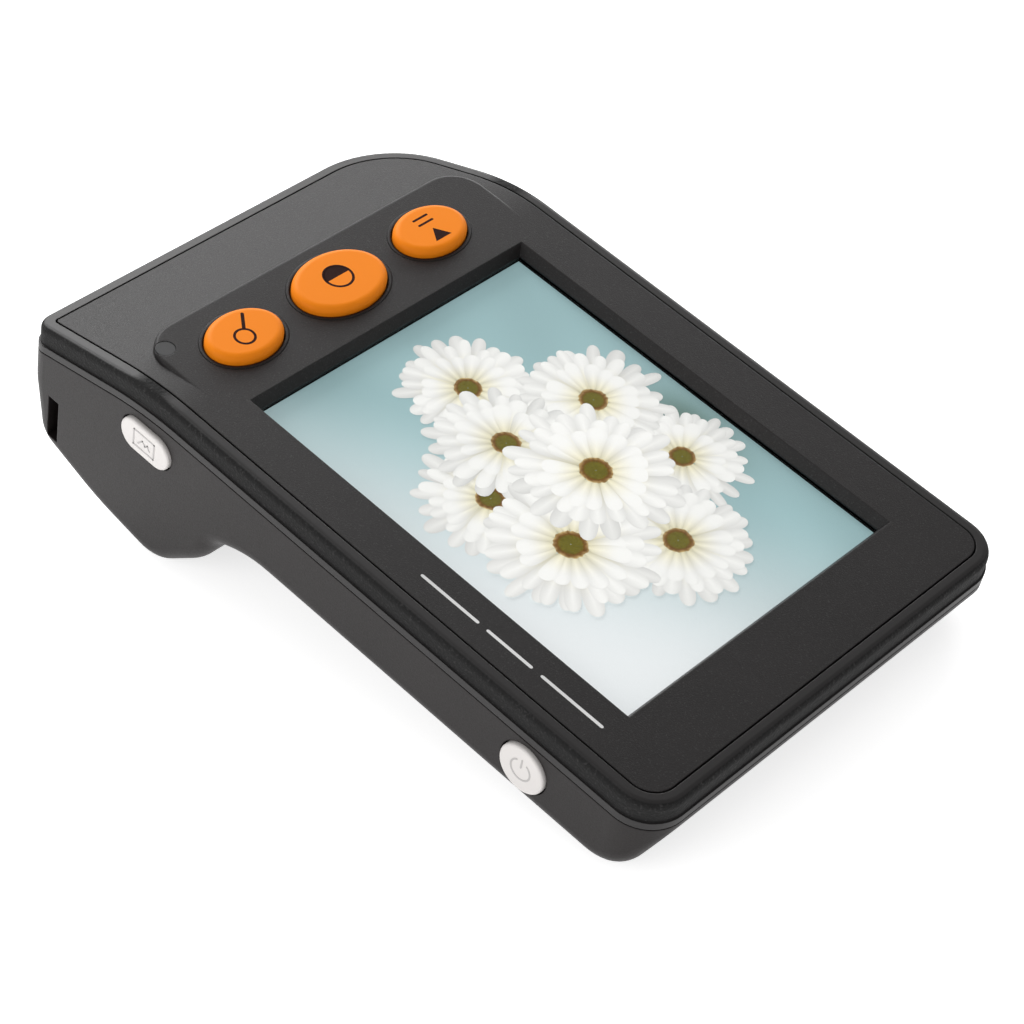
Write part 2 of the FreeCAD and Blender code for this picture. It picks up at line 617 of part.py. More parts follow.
def mainBoard():
    """Circuit board with its chips, display connector, ribbon and the small screws that hold it."""
    board = piece("main_board")
    block(board, d.boardIn, boardSide, down(boardUnder), d.caseLength - d.boardEndGap - d.boardIn,
          d.caseWidth - 2 * boardSide, d.boardThick)
    for x, y in postSpots():
        rod(board, x, y, down(boardUnder + 1), 0.8, 4, cut=True)
    chips = piece("board_chips")
    for ahead, y, length, width, tall in ((0, 24, 12, 12, 1.0), (18, 26, 9, 7, 0.9), (0, 46, 7, 7, 0.8),
                                          (26, 44, 10, 5, 1.0)):
        block(chips, panelStart + d.chipIn + ahead, y, down(d.boardDown), length, width, tall)
    plug = piece("display_connector")
    edge = panelStart + d.panelLength + d.trayWall
    block(plug, edge - 10, midY - 9.5, down(d.boardDown), 4, 19, 1.1)
    ribbon = piece("display_ribbon")
    block(ribbon, edge + 0.3, midY - 8, down(d.boardDown - 0.5), 0.2, 16, d.boardDown - 0.5 - panelDown - 0.4)
    block(ribbon, edge - 6, midY - 8, down(d.boardDown - 0.5), 6.5, 16, 0.2)
    block(ribbon, edge - d.trayWall, midY - 8, down(panelDown + 0.6), d.trayWall + 0.5, 16, 0.2)
    screws = piece("board_screws")
    for x, y in postSpots():
        rod(screws, x, y, down(d.boardDown), 1.4, 0.8)
        rod(screws, x, y, down(boardUnder + 3), 0.6, boardUnder + 3 - d.boardDown)


def statusLight():
    """Light guide in the cover and the lamp under it."""
    guide = piece("status_lens")
    rod(guide, d.ledIn, d.ledSide, down(6), d.ledRadius, 6 - 0.05)
    lamp = piece("status_lamp")
    block(lamp, d.ledIn - 1, d.ledSide - 0.6, down(d.boardDown), 2, 1.2, 0.8)


def camera():
    """Camera that looks down through the port: sensor, holder, barrel and lenses, shroud and lamps."""
    x, y = d.lensIn, midY
    half = d.holderSide / 2
    sensorDown = boardUnder + d.sensorBoardThick
    base = piece("sensor_board")
    block(base, x - half, y - half, down(sensorDown), d.holderSide, d.holderSide, d.sensorBoardThick)
    sensor = piece("image_sensor")
    block(sensor, x - d.sensorSide / 2, y - d.sensorSide / 2, down(sensorDown + d.sensorThick),
          d.sensorSide, d.sensorSide, d.sensorThick)
    holder = piece("lens_holder")
    holderDown = sensorDown + d.holderHeight
    block(holder, x - half, y - half, down(holderDown), d.holderSide, d.holderSide, d.holderHeight)
    side = d.sensorSide + 1
    block(holder, x - side / 2, y - side / 2, down(sensorDown + 1.1), side, side, 2, cut=True)
    rod(holder, x, y, down(holderDown + 1), d.lensRadius + 0.02, d.holderHeight + 2, cut=True)
    barrel = piece("lens_barrel")
    barrelDown = sensorDown + 1.4 + d.lensLength
    rod(barrel, x, y, down(barrelDown), d.lensRadius, d.lensLength)
    rod(barrel, x, y, down(barrelDown + 1), d.lensRadius - 0.7, d.lensLength + 2, cut=True)
    for name, depth in (("front_lens", barrelDown - 0.9), ("rear_lens", barrelDown - d.lensLength + 0.9)):
        lens = piece(name)
        sized(lens, "AdditiveEllipsoid", name + "Glass",
              {"Radius1": 0.7, "Radius2": d.lensRadius - 0.72, "Radius3": d.lensRadius - 0.72},
              (x, y, down(depth)))
    windowUp = d.bodyDepth - d.portThick - 0.1
    shroud = piece("lens_shroud")
    rod(shroud, x, y, down(windowUp - 0.1), d.shroudRadius, windowUp - 0.1 - holderDown)
    rod(shroud, x, y, down(windowUp + 1), d.shroudRadius - d.shroudWall, 8, cut=True)
    lampDown = windowUp - 0.6 - d.lampThick
    ring = piece("lamp_board")
    rod(ring, x, y, down(lampDown), d.portRadius - d.portLap - 0.2, d.lampBoardThick)
    rod(ring, x, y, down(lampDown + 1), d.shroudRadius + 0.05, 4, cut=True)
    lamps = piece("lamps")
    for side in (-1, 1):
        for turn in (-1, 1):
            block(lamps, x + d.lampCircle * 0.707 * side - d.lampSide / 2,
                  y + d.lampCircle * 0.707 * turn - d.lampSide / 2, down(lampDown + d.lampThick),
                  d.lampSide, d.lampSide, d.lampThick)
    window = piece("camera_window")
    rod(window, x, y, down(d.bodyDepth - 0.05), d.portRadius, d.portThick)


def battery():
    """Round cell across the grip, its two spring contacts and the foam pad above it."""
    start = midY - d.cellLength / 2
    cell = piece("battery_cell")
    rod(cell, d.cellIn, start, down(d.cellDown), d.cellRadius, d.cellLength, upY)
    rod(cell, d.cellIn, start + d.cellLength, down(d.cellDown), 3, 0.7, upY)
    thick, side, tongue = d.contactThick, d.contactSide, d.tongueSide
    for name, y, gap, away in (("negative_contact", start - 1.3, 0.0, 1),
                               ("positive_contact", start + d.cellLength + 1.3 - thick, 0.7, -1)):
        body = piece(name)
        block(body, d.cellIn - side / 2, y, down(d.cellDown + side / 2), side, thick, side)
        reach = 1.25 - thick - gap
        first = y + thick if away > 0 else y - reach
        block(body, d.cellIn - tongue / 2, first, down(d.cellDown + tongue / 2), tongue, reach, tongue)
    foam = piece("battery_pad")
    block(foam, d.cellIn - 3, midY - 18, down(d.cellDown - d.cellRadius - 0.1), 6, 36,
          d.cellDown - d.cellRadius - 0.1 - boardUnder)


def chargeSocket():
    """Metal charging socket under the board, open through the far side wall."""
    shell = piece("charge_socket")
    x, y = d.socketIn - d.socketWidth / 2, d.caseWidth - 0.4 - d.socketLength
    z = down(boardUnder + d.socketHeight)
    block(shell, x, y, z, d.socketWidth, d.socketLength, d.socketHeight)
    skin = 0.3
    block(shell, x + skin, y + 1, z + skin, d.socketWidth - 2 * skin, d.socketLength,
          d.socketHeight - 2 * skin, cut=True)
    tongue = piece("socket_tongue")
    block(tongue, x + 1.4, y + 1, z + d.socketHeight / 2 - 0.3, d.socketWidth - 2.8, d.socketLength - 2, 0.6)


def footRows():
    return d.footSide, d.caseWidth - d.footSide


def foot(body, center, y, extra, cut=False):
    """A disc set square to the table, on the rounded edge whose arc centre is given."""
    lean = FreeCAD.Vector(-math.sin(tilt), 0, math.cos(tilt))
    reach = driving["toeRound"] + driving["footProud"] + (1 if cut else 0)
    spot = center - lean * reach
    height = d.footProud + d.footSunk + (1 if cut else 0)
    return rod(body, spot.x, y, spot.z, d.footRadius + extra, height,
               (FreeCAD.Vector(0, 1, 0), -math.degrees(tilt)), cut)


def feet():
    for name, center in (("grip_feet", toeCenter), ("end_feet", endCenter)):
        body = piece(name)
        for y in footRows():
            foot(body, center, y, 0)


def caseScrews():
    body = piece("case_screws")
    for x, y, split, root in screwSpots():
        rod(body, x, y, down(split + 3 + d.headThick), d.headRadius, d.headThick)
        rod(body, x, y, down(split + 3), d.screwRadius - 0.03, d.screwLength - 0.5)


def finish(parts):
    """Stands the pieces on the table plane, checks them and writes each to its own file."""
    doc.recompute()
    turn = FreeCAD.Rotation(FreeCAD.Vector(0, 1, 0), math.degrees(tilt))
    box = FreeCAD.BoundBox()
    for body in parts:
        shape = body.Shape.copy()
        shape.Placement = FreeCAD.Placement(FreeCAD.Vector(), turn)
        box.add(shape.optimalBoundingBox(False, False))
    stance = FreeCAD.Placement(FreeCAD.Vector(-box.Center.x, -box.Center.y, -box.ZMin), turn)
    for body in parts:
        body.Placement = stance
    doc.recompute()
    for item in doc.Objects:
        if "Invalid" in item.State or "Error" in item.State:
            raise ValueError("failed: " + item.Label)
    os.makedirs("parts", exist_ok=True)
    for body in parts:
        if body.Shape.isNull() or not body.Shape.isValid():
            raise ValueError("bad shape: " + body.Label)
        body.Shape.exportStep("parts/%s.step" % body.Label)
    return stance


def main():
    frontCover()
    ringFrame()
    rearHousing()
    display()
    mainBoard()
    switches()
    for name, place, long, short in buttonRow:
        pushButton(name, place, long, short)
    sideKey("mode", d.modeIn, (d.modeLength - d.modeHeight) / 2, d.modeHeight / 2)
    sideKey("power", d.powerIn, asSize(0), d.powerRadius)
    statusLight()
    camera()
    battery()
    chargeSocket()
    feet()
    caseScrews()
    stance = finish(pieces)
    print(len(pieces), "pieces; tilt", round(math.degrees(tilt), 3), "degrees; stance", stance)


main()
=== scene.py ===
import json
import math
import bpy
import numpy as np
from mathutils import Matrix, Vector


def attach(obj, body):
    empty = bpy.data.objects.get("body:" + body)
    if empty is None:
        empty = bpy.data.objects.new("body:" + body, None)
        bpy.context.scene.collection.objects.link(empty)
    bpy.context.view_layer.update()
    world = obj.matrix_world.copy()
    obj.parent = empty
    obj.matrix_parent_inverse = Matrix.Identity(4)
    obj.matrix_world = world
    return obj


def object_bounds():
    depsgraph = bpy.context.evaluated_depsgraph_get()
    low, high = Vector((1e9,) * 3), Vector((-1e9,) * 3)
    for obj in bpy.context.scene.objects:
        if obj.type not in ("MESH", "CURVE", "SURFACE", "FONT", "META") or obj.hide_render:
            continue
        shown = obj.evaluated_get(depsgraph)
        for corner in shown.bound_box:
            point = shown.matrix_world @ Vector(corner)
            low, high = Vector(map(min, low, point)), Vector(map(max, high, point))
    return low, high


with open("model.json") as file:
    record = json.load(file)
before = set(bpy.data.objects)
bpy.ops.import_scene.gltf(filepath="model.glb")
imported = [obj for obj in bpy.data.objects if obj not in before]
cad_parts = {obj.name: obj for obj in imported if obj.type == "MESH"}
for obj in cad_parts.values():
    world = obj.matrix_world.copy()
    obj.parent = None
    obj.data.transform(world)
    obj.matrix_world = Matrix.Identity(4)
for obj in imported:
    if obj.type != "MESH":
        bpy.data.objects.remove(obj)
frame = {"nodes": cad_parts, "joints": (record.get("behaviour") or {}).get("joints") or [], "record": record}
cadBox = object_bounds()
mm = 0.001

# The case leans on its feet, so pieces are placed along the case's own three directions:
# along (grip to thin end, in the screen face), across (near side to far side) and up (off the face).
pressAxis = next(joint["axis"] for joint in frame["joints"] if joint["name"] == "zoom_press")
lean = math.atan2(-pressAxis[0], -pressAxis[2])
caseAxes = np.array(((math.cos(lean), 0, -math.sin(lean)), (0, 1, 0), (math.sin(lean), 0, math.cos(lean))))


def caseSpots(node):
    # all places of a node's mesh along the case's three directions
    mesh = frame["nodes"][node].data
    spots = np.empty(len(mesh.vertices) * 3)
    mesh.vertices.foreach_get("co", spots)
    return spots.reshape(-1, 3) @ caseAxes.T


def caseBox(node):
    # lowest and highest place of a node along the case's three directions
    spots = caseSpots(node)
    return spots.min(0), spots.max(0)


face = caseBox("front_cover")[1][2]  # height of the flat screen face
panelTop = caseBox("lcd_panel")[1][2]
windowLow, windowHigh = caseBox("display_window")
windowLap = 1.3 * mm  # how far the window reaches under the cover
viewLow, viewHigh = windowLow[:2] + windowLap, windowHigh[:2] - windowLap
cornerLip = 1.0 * mm  # the sloping border round the screen
screenCorner = np.array((viewHigh[0] + cornerLip, viewLow[1] - cornerLip, face))
print("frame loaded, lean", round(math.degrees(lean), 2))


def addPiece(name, body, material, points, faces, colors=None):
    # a mesh from points in case directions, in metres, turned into the row frame
    mesh = bpy.data.meshes.new(name)
    mesh.from_pydata((points @ caseAxes).tolist(), [], faces.tolist())
    mesh.update()
    if colors is not None:
        paint = mesh.attributes.new("paint", "FLOAT_COLOR", "POINT")
        paint.data.foreach_set("color", np.c_[colors, np.ones(len(colors))].astype(np.float32).ravel())
    piece = bpy.data.objects.new(name, mesh)
    bpy.context.scene.collection.objects.link(piece)
    mesh.materials.append(material)
    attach(piece, body)
    return piece


def thicken(piece, thickness, side=1):
    # gives a sheet its thickness on the side that its faces look to, or with side -1 behind them
    solid = piece.modifiers.new("thickness", "SOLIDIFY")
    solid.thickness, solid.offset = thickness, side
    return piece


def gridFaces(rows, columns, count=1, ringRows=False, ringColumns=False):
    # quads between neighbouring places of a grid with rows x columns points, for count grids in a row
    r = np.arange(rows if ringRows else rows - 1)
    c = np.arange(columns if ringColumns else columns - 1)
    i, j = np.meshgrid(r, c, indexing="ij")
    nextRow, nextColumn = (i + 1) % rows, (j + 1) % columns
    quad = np.stack((i * columns + j, nextRow * columns + j, nextRow * columns + nextColumn,
                     i * columns + nextColumn), -1).reshape(-1, 4)
    return (quad[None] + (np.arange(count) * rows * columns)[:, None, None]).reshape(-1, 4)


def sweepGrid(low, high, rows, columns):
    # two parameters that run from low to high, as two flat lists of the same length
    first, second = np.linspace(low[0], high[0], rows), np.linspace(low[1], high[1], columns)
    a, b = np.meshgrid(first, second, indexing="ij")
    return a.ravel(), b.ravel()


def band(center, radius, width, start=0.0, end=1.0, steps=48):
    # flat arc of a ring: out to radius, width wide, from turn start to turn end; (along, across)
    turn, r = sweepGrid((start, radius - width), (end, radius), steps, 2)
    angle = turn * 2 * math.pi
    return np.c_[center[0] + r * np.cos(angle), center[1] + r * np.sin(angle)], gridFaces(steps, 2)


def bar(start, end, width, steps=9):
    # flat stroke between two places with round ends: half width is that of a circle near either end
    start, end = np.array(start, float), np.array(end, float)
    length = np.linalg.norm(end - start)
    ahead = (end - start) / length
    side = np.array((-ahead[1], ahead[0]))
    half = width / 2
    share, across = sweepGrid((0, -1), (1, 1), steps * 2 + 1, 2)
    place = (1 - np.cos(share * math.pi)) / 2 * (length + width) - half
    past = np.maximum(np.maximum(-place, place - length), 0)
    reach = np.sqrt(np.maximum(half ** 2 - past ** 2, (half * 0.02) ** 2))
    points = start + place[:, None] * ahead + (across * reach)[:, None] * side
    return points, gridFaces(steps * 2 + 1, 2)[:, ::-1]


def wedge(corners):
    # flat triangle as a grid that closes to its first corner
    share, across = sweepGrid((0.02, 0), (1, 1), 2, 2)
    tip, left, right = (np.array(corner, float) for corner in corners)
    edge = left + across[:, None] * (right - left)
    return tip + share[:, None] * (edge - tip), gridFaces(2, 2)


def joined(shapes):
    # several flat shapes as one list of points and one list of faces
    points, faces, count = [], [], 0
    for shapePoints, shapeFaces in shapes:
        points.append(shapePoints)
        faces.append(shapeFaces + count)
        count += len(shapePoints)
    return np.concatenate(points), np.concatenate(faces)


def newMaterial(name):
    material = bpy.data.materials.new(name)
    material.use_nodes = True
    tree = material.node_tree
    return material, tree, tree.nodes["Principled BSDF"]


def addNode(tree, kind, inputs=None, **settings):
    # a node with its settings; inputs maps a socket to a constant or to another node's output
    node = tree.nodes.new("ShaderNode" + kind)
    for key, value in settings.items():
        setattr(node, key, value)
    for key, value in (inputs or {}).items():
        if isinstance(value, bpy.types.NodeSocket):
            tree.links.new(value, node.inputs[key])
        else:
            node.inputs[key].default_value = value
    return node


def noise(tree, place, scale, detail=2.0, rough=0.6):
    inputs = {"Vector": place, "Scale": scale, "Detail": detail, "Roughness": rough}
    return addNode(tree, "TexNoise", inputs).outputs[0]


def remap(tree, value, fromLow, fromHigh, toLow, toHigh):
    inputs = {0: value, 1: fromLow, 2: fromHigh, 3: toLow, 4: toHigh}
    return addNode(tree, "MapRange", inputs).outputs[0]


def blendColors(tree, share, first, second):
    node = addNode(tree, "Mix", data_type="RGBA")
    for socket, value in ((node.inputs[0], share), (node.inputs[6], first), (node.inputs[7], second)):
        if isinstance(value, bpy.types.NodeSocket):
            tree.links.new(value, socket)
        elif socket.type == "RGBA":
            socket.default_value = (*value, 1)
        else:
            socket.default_value = value
    return node.outputs[2]


def dress(material, tree, shader, look, place):
    # the finish that most pieces share: grain in bump and roughness, slow colour drift, softened edges
    grain = noise(tree, place, 1 / (look["grain"] * mm), look.get("detail", 2.0))
    drift = noise(tree, place, 1 / (look.get("driftSize", 14) * mm), 3.0)
    color = np.array(look["color"])
    dull = tuple(color * look.get("dull", 0.82))
    share = remap(tree, drift, 0.3, 0.7, 0, 1)
    tint = blendColors(tree, share, tuple(color), dull)
    # painted glints: lighter specks mixed into the base colour stand in for light catching the grain
    if "paintedGlint" in look:
        paintedGlint = noise(tree, place, 1 / (look["glintSize"] * mm), 1.0)
        tint = blendColors(tree, remap(tree, paintedGlint, 0.6, 0.72, 0, 1), tint, look["paintedGlint"])
    tree.links.new(tint, shader.inputs["Base Color"])
    spread = look.get("spread", 0.06)
    rough = remap(tree, grain, 0.3, 0.7, look["rough"] - spread, look["rough"] + spread)
    tree.links.new(rough, shader.inputs["Roughness"])
    soft = addNode(tree, "Bevel", {"Radius": look.get("edge", 0.2) * mm}, samples=4).outputs[0]
    bump = addNode(tree, "Bump", {"Height": grain, "Strength": look["bump"], "Distance": look["relief"] * mm,
                                  "Normal": soft})
    tree.links.new(bump.outputs[0], shader.inputs["Normal"])
    shader.inputs["Metallic"].default_value = look.get("metal", 0)
    shader.inputs["Specular IOR Level"].default_value = look.get("shine", 0.5)
    shader.inputs["Coat Weight"].default_value = look.get("coat", 0)
    shader.inputs["Alpha"].default_value = look.get("alpha", 1)
    return material


def finishOf(name, look):
    material, tree, shader = newMaterial(name)
    place = addNode(tree, "TexCoord").outputs["Object"]
    if "stretch" in look:
        place = addNode(tree, "Mapping", {"Vector": place, "Scale": look["stretch"]}).outputs[0]
    return dress(material, tree, shader, look, place)


finishes = {
    # case_black carries painted glints: lighter specks in its base colour stand in for light catching the
    # grain
    "case_black": {"color": (0.0122, 0.0102, 0.0103), "rough": 0.5, "shine": 0.29, "grain": 0.2, "bump": 0.8,
                   "relief": 0.05, "paintedGlint": (0.026, 0.024, 0.024), "glintSize": 0.25, "edge": 0.25},
    "shell_black": {"color": (0.0128, 0.0098, 0.0094), "rough": 0.46, "shine": 0.25, "grain": 0.25,
                    "bump": 0.5, "relief": 0.03, "edge": 0.3},
    "button_orange": {"color": (0.98, 0.262, 0.008), "dull": 0.97, "rough": 0.5, "shine": 0.12,
                      "grain": 0.25, "bump": 0.2, "relief": 0.012, "edge": 0.3},
    "key_grey": {"color": (0.70, 0.67, 0.65), "dull": 0.95, "rough": 0.4, "grain": 0.22, "bump": 0.2,
                 "relief": 0.012, "edge": 0.25},
    "plunger_black": {"color": (0.02, 0.02, 0.02), "rough": 0.5, "grain": 0.3, "bump": 0.3, "relief": 0.02},
    "clear_window": {"color": (0.25, 0.28, 0.28), "rough": 0.07, "spread": 0.01, "grain": 3, "bump": 0.02,
                     "relief": 0.01, "alpha": 0.035, "shine": 0.4, "dull": 0.98},
    "port_window": {"color": (0.02, 0.02, 0.022), "rough": 0.06, "spread": 0.01, "grain": 3, "bump": 0.02,
                    "relief": 0.01, "alpha": 0.45},
    "foam": {"color": (0.006, 0.006, 0.006), "rough": 0.95, "shine": 0.05, "grain": 0.3, "bump": 0.5,
             "relief": 0.04},
    "screen": {"color": (0.10, 0.12, 0.12), "rough": 0.3, "grain": 0.5, "bump": 0.1, "relief": 0.01},
    "diffuser_white": {"color": (0.8, 0.81, 0.82), "rough": 0.5, "grain": 0.3, "bump": 0.2, "relief": 0.01},
    "steel_plate": {"color": (0.55, 0.55, 0.54), "rough": 0.32, "grain": 0.15, "bump": 0.3, "relief": 0.006,
                    "metal": 1, "stretch": (1, 14, 1)},
    "board_green": {"color": (0.012, 0.11, 0.05), "rough": 0.34, "grain": 0.6, "bump": 0.3, "relief": 0.02,
                    "coat": 0.3},
    "board_white": {"color": (0.75, 0.75, 0.72), "rough": 0.4, "grain": 0.6, "bump": 0.2, "relief": 0.02},
    "chip_black": {"color": (0.018, 0.018, 0.02), "rough": 0.55, "grain": 0.12, "bump": 0.4, "relief": 0.01},
    "connector_ivory": {"color": (0.68, 0.64, 0.5), "rough": 0.45, "grain": 0.3, "bump": 0.2, "relief": 0.01},
    "ribbon_amber": {"color": (0.42, 0.15, 0.02), "rough": 0.3, "grain": 0.5, "bump": 0.2, "relief": 0.01,
                     "stretch": (1, 8, 1)},
    "steel_screw": {"color": (0.42, 0.42, 0.42), "rough": 0.35, "grain": 0.12, "bump": 0.35, "relief": 0.008,
                    "metal": 1},
    "lens_smoke": {"color": (0.035, 0.035, 0.036), "rough": 0.45, "shine": 0.35, "grain": 0.4, "bump": 0.1,
                   "relief": 0.01},
    "lamp_white": {"color": (0.85, 0.80, 0.45), "rough": 0.3, "grain": 0.3, "bump": 0.2, "relief": 0.02},
    "sensor_dark": {"color": (0.02, 0.015, 0.04), "rough": 0.15, "grain": 0.3, "bump": 0.1, "relief": 0.004},
    "barrel_black": {"color": (0.012, 0.012, 0.012), "rough": 0.4, "grain": 0.15, "bump": 0.3,
                     "relief": 0.01},
    "optic_glass": {"color": (0.35, 0.42, 0.55), "rough": 0.05, "spread": 0.01, "grain": 2, "bump": 0.02,
                    "relief": 0.004, "alpha": 0.4, "coat": 0.6},
    "cell_wrap": {"color": (0.02, 0.09, 0.32), "rough": 0.25, "grain": 1.2, "bump": 0.3, "relief": 0.03},
    "socket_steel": {"color": (0.6, 0.6, 0.6), "rough": 0.25, "grain": 0.12, "bump": 0.3, "relief": 0.006,
                     "metal": 1},
    "foot_rubber": {"color": (0.014, 0.014, 0.014), "rough": 0.85, "grain": 0.3, "bump": 0.6, "relief": 0.05},
}

# the band's glint colour is painted light: lighter specks on the dark slope stand in for light catching its
# coarse grain
bandLook = {"strip": (0.0165, 0.0148, 0.0148), "band": (0.0055, 0.0052, 0.0052),
            "bandGlint": (0.027, 0.026, 0.026), "crestStart": 25.3, "crestFall": 0.234, "bandTop": 0.16,
            "bandFoot": 3.45, "blur": 0.08,
            "coarse": 0.5, "fine": 0.3}


def bandMaterial():
    # The band's finish changes with the depth under the cover's rim: a fine-grained rim, a coarse dark slope
    # and a plain strip below. Depth is taken from the rim, which falls away evenly over the grip.
    material, tree, shader = newMaterial("band_black")
    place = addNode(tree, "TexCoord").outputs["Object"]
    turned = addNode(tree, "Mapping", {"Vector": place, "Rotation": (0, -lean, 0)}, vector_type="POINT")
    parts = addNode(tree, "SeparateXYZ", {"Vector": turned.outputs[0]})
    crest = caseBox("ring_frame")[0][0] + bandLook["crestStart"] * mm
    ahead = addNode(tree, "Math", {0: crest, 1: parts.outputs[0]}, operation="SUBTRACT").outputs[0]
    over = addNode(tree, "Math", {0: ahead, 1: 0.0}, operation="MAXIMUM").outputs[0]
    fall = addNode(tree, "Math", {0: over, 1: bandLook["crestFall"]}, operation="MULTIPLY").outputs[0]
    height = addNode(tree, "Math", {0: parts.outputs[2], 1: fall}, operation="ADD").outputs[0]
    depth = addNode(tree, "Math", {0: face, 1: height}, operation="SUBTRACT").outputs[0]
    top, foot, blur = bandLook["bandTop"] * mm, bandLook["bandFoot"] * mm, bandLook["blur"] * mm
    below = remap(tree, depth, top - blur, top + blur, 0, 1)
    above = remap(tree, depth, foot - blur, foot + blur, 1, 0)
    inside = addNode(tree, "Math", {0: below, 1: above}, operation="MULTIPLY").outputs[0]
    coarse = noise(tree, place, 1 / (bandLook["coarse"] * mm), 3.0)
    fine = noise(tree, place, 1 / (bandLook["fine"] * mm))
    # painted glints: lighter specks on the coarse dark slope stand in for light catching its grain
    slopeGlints = remap(tree, coarse, 0.56, 0.7, 0, 1)
    dark = blendColors(tree, slopeGlints, bandLook["band"], bandLook["bandGlint"])
    tree.links.new(blendColors(tree, inside, bandLook["strip"], dark), shader.inputs["Base Color"])
    tree.links.new(remap(tree, inside, 0, 1, 0.46, 0.8), shader.inputs["Roughness"])
    shader.inputs["Specular IOR Level"].default_value = 0.33
    soft = addNode(tree, "Bevel", {"Radius": 0.2 * mm}, samples=4).outputs[0]
    gentle = addNode(tree, "Bump", {"Height": fine, "Strength": 0.4, "Distance": 0.02 * mm, "Normal": soft})
    strong = addNode(tree, "Math", {0: coarse, 1: inside}, operation="MULTIPLY").outputs[0]
    rugged = addNode(tree, "Bump", {"Height": strong, "Strength": 0.9, "Distance": 0.24 * mm,
                                    "Normal": gentle.outputs[0]})
    tree.links.new(rugged.outputs[0], shader.inputs["Normal"])
    return material


def paintMaterial(name, rough, glow):
    # colour from the mesh's own paint, lit from behind as a screen is
    material, tree, shader = newMaterial(name)
    paint = addNode(tree, "Attribute", attribute_name="paint").outputs["Color"]
    tree.links.new(blendColors(tree, 0.42, paint, (0.0, 0.0, 0.0)), shader.inputs["Base Color"])
    tree.links.new(paint, shader.inputs["Emission Color"])
    shader.inputs["Emission Strength"].default_value = glow
    shader.inputs["Roughness"].default_value = rough
    shader.inputs["Specular IOR Level"].default_value = 0.1
    return material


materials = {name: finishOf(name, look) for name, look in finishes.items()}
materials["band_black"] = bandMaterial()
pictureMaterial = paintMaterial("screen_picture", 0.9, 0.49)
inkGrain = {"grain": 0.3, "bump": 0.1, "relief": 0.004, "edge": 0.01}  # the same for every printed ink
inkMaterial = finishOf("icon_ink", {"color": (0.028, 0.008, 0.006), "rough": 0.8, "shine": 0.12, **inkGrain})
whiteInk = finishOf("white_ink", {"color": (0.78, 0.78, 0.77), "rough": 0.5, **inkGrain})
keyInk = finishOf("key_line", {"color": (0.50, 0.48, 0.47), "rough": 0.45, **inkGrain})
for part in frame["record"]["subparts"]:
    item = frame["nodes"][part["node"]]
    item.data.materials.clear()
    item.data.materials.append(materials[part["material_slot"]])
print("materials", len(bpy.data.materials))


picture = {"margin": 0.19, "rows": 97, "columns": 73, "lift": 0.01, "layer": 0.03, "sheet": 0.004,
           "ground": (0.36, 0.545, 0.565), "haze": (0.93, 0.965, 0.975), "shade": (0.10, 0.17, 0.13),
           "hazeStart": 14, "hazeDepth": 46, "shadeLimit": 0.85}
patches = ((41, 50, 9, 4.5, 0.9), (31, 27, 7, 7, 0.3))  # dark patch: along, across, its two reaches, strength
flowers = [  # from back to front: along and across from the opening's grip-end near corner, reach, turn
    (32.7, 15.3, 11.8, 0.3), (44.5, 44.1, 10.8, 1.1), (14.8, 28.7, 11.4, 2.2), (28.2, 42.1, 12.0, 0.7),
    (26.4, 25.0, 12.0, 1.9), (55.4, 30.9, 12.4, 2.9), (46.2, 17.9, 13.8, 0.1), (38.5, 31.5, 13.4, 1.4)]
# each ring of petals: share of the reach, count, offset in petals, brightness
petalRings = ((1.0, 19, 0.0, 0.92), (0.88, 19, 0.5, 0.97), (0.66, 16, 0.25, 1.0))
petalShape = {"rows": 11, "columns": 5, "root": 0.15, "width": 0.122, "blunt": 8, "sway": 0.25, "ring": 0.008}


def wave(values, seed):
    # repeatable scatter from 0 to 1
    return np.modf(np.abs(np.sin(values * 12.9898 + seed * 78.233) * 43758.5453))[0]


def groundSheet():
    # level grid; colour goes from blue-green to pale haze towards the near thin end, with dark patches
    # that fade out as a bell curve behind the flowers
    margin = picture["margin"] * mm
    low, high = viewLow - margin, viewHigh + margin
    along, across = sweepGrid(low, high, picture["rows"], picture["columns"])
    height = np.full(len(along), panelTop + picture["lift"] * mm)
    u, v = (along - viewLow[0]) / mm, (across - viewLow[1]) / mm
    haze = np.clip((u * 0.55 - v * 0.95 + picture["hazeStart"]) / picture["hazeDepth"], 0, 1)
    haze = haze * haze * (3 - 2 * haze)
    cloud = 0.5 + 0.5 * np.sin(u * 0.17 + 1.3 * np.sin(v * 0.13)) * np.cos(v * 0.19 + 0.8)
    shade = sum(np.exp(-((u - a) / long) ** 2 - ((v - b) / wide) ** 2) * strength
                for a, b, long, wide, strength in patches)
    ground, pale, dark = (np.array(picture[key]) for key in ("ground", "haze", "shade"))
    colors = ground * (0.93 + 0.14 * cloud)[:, None]
    colors += (pale - colors) * haze[:, None]
    colors += (dark - colors) * np.clip(shade, 0, picture["shadeLimit"])[:, None]
    points = np.c_[along, across, height]
    faces = gridFaces(picture["rows"], picture["columns"])
    piece = addPiece("screen_picture", "case", pictureMaterial, points, faces, colors)
    return thicken(piece, picture["sheet"] * mm)


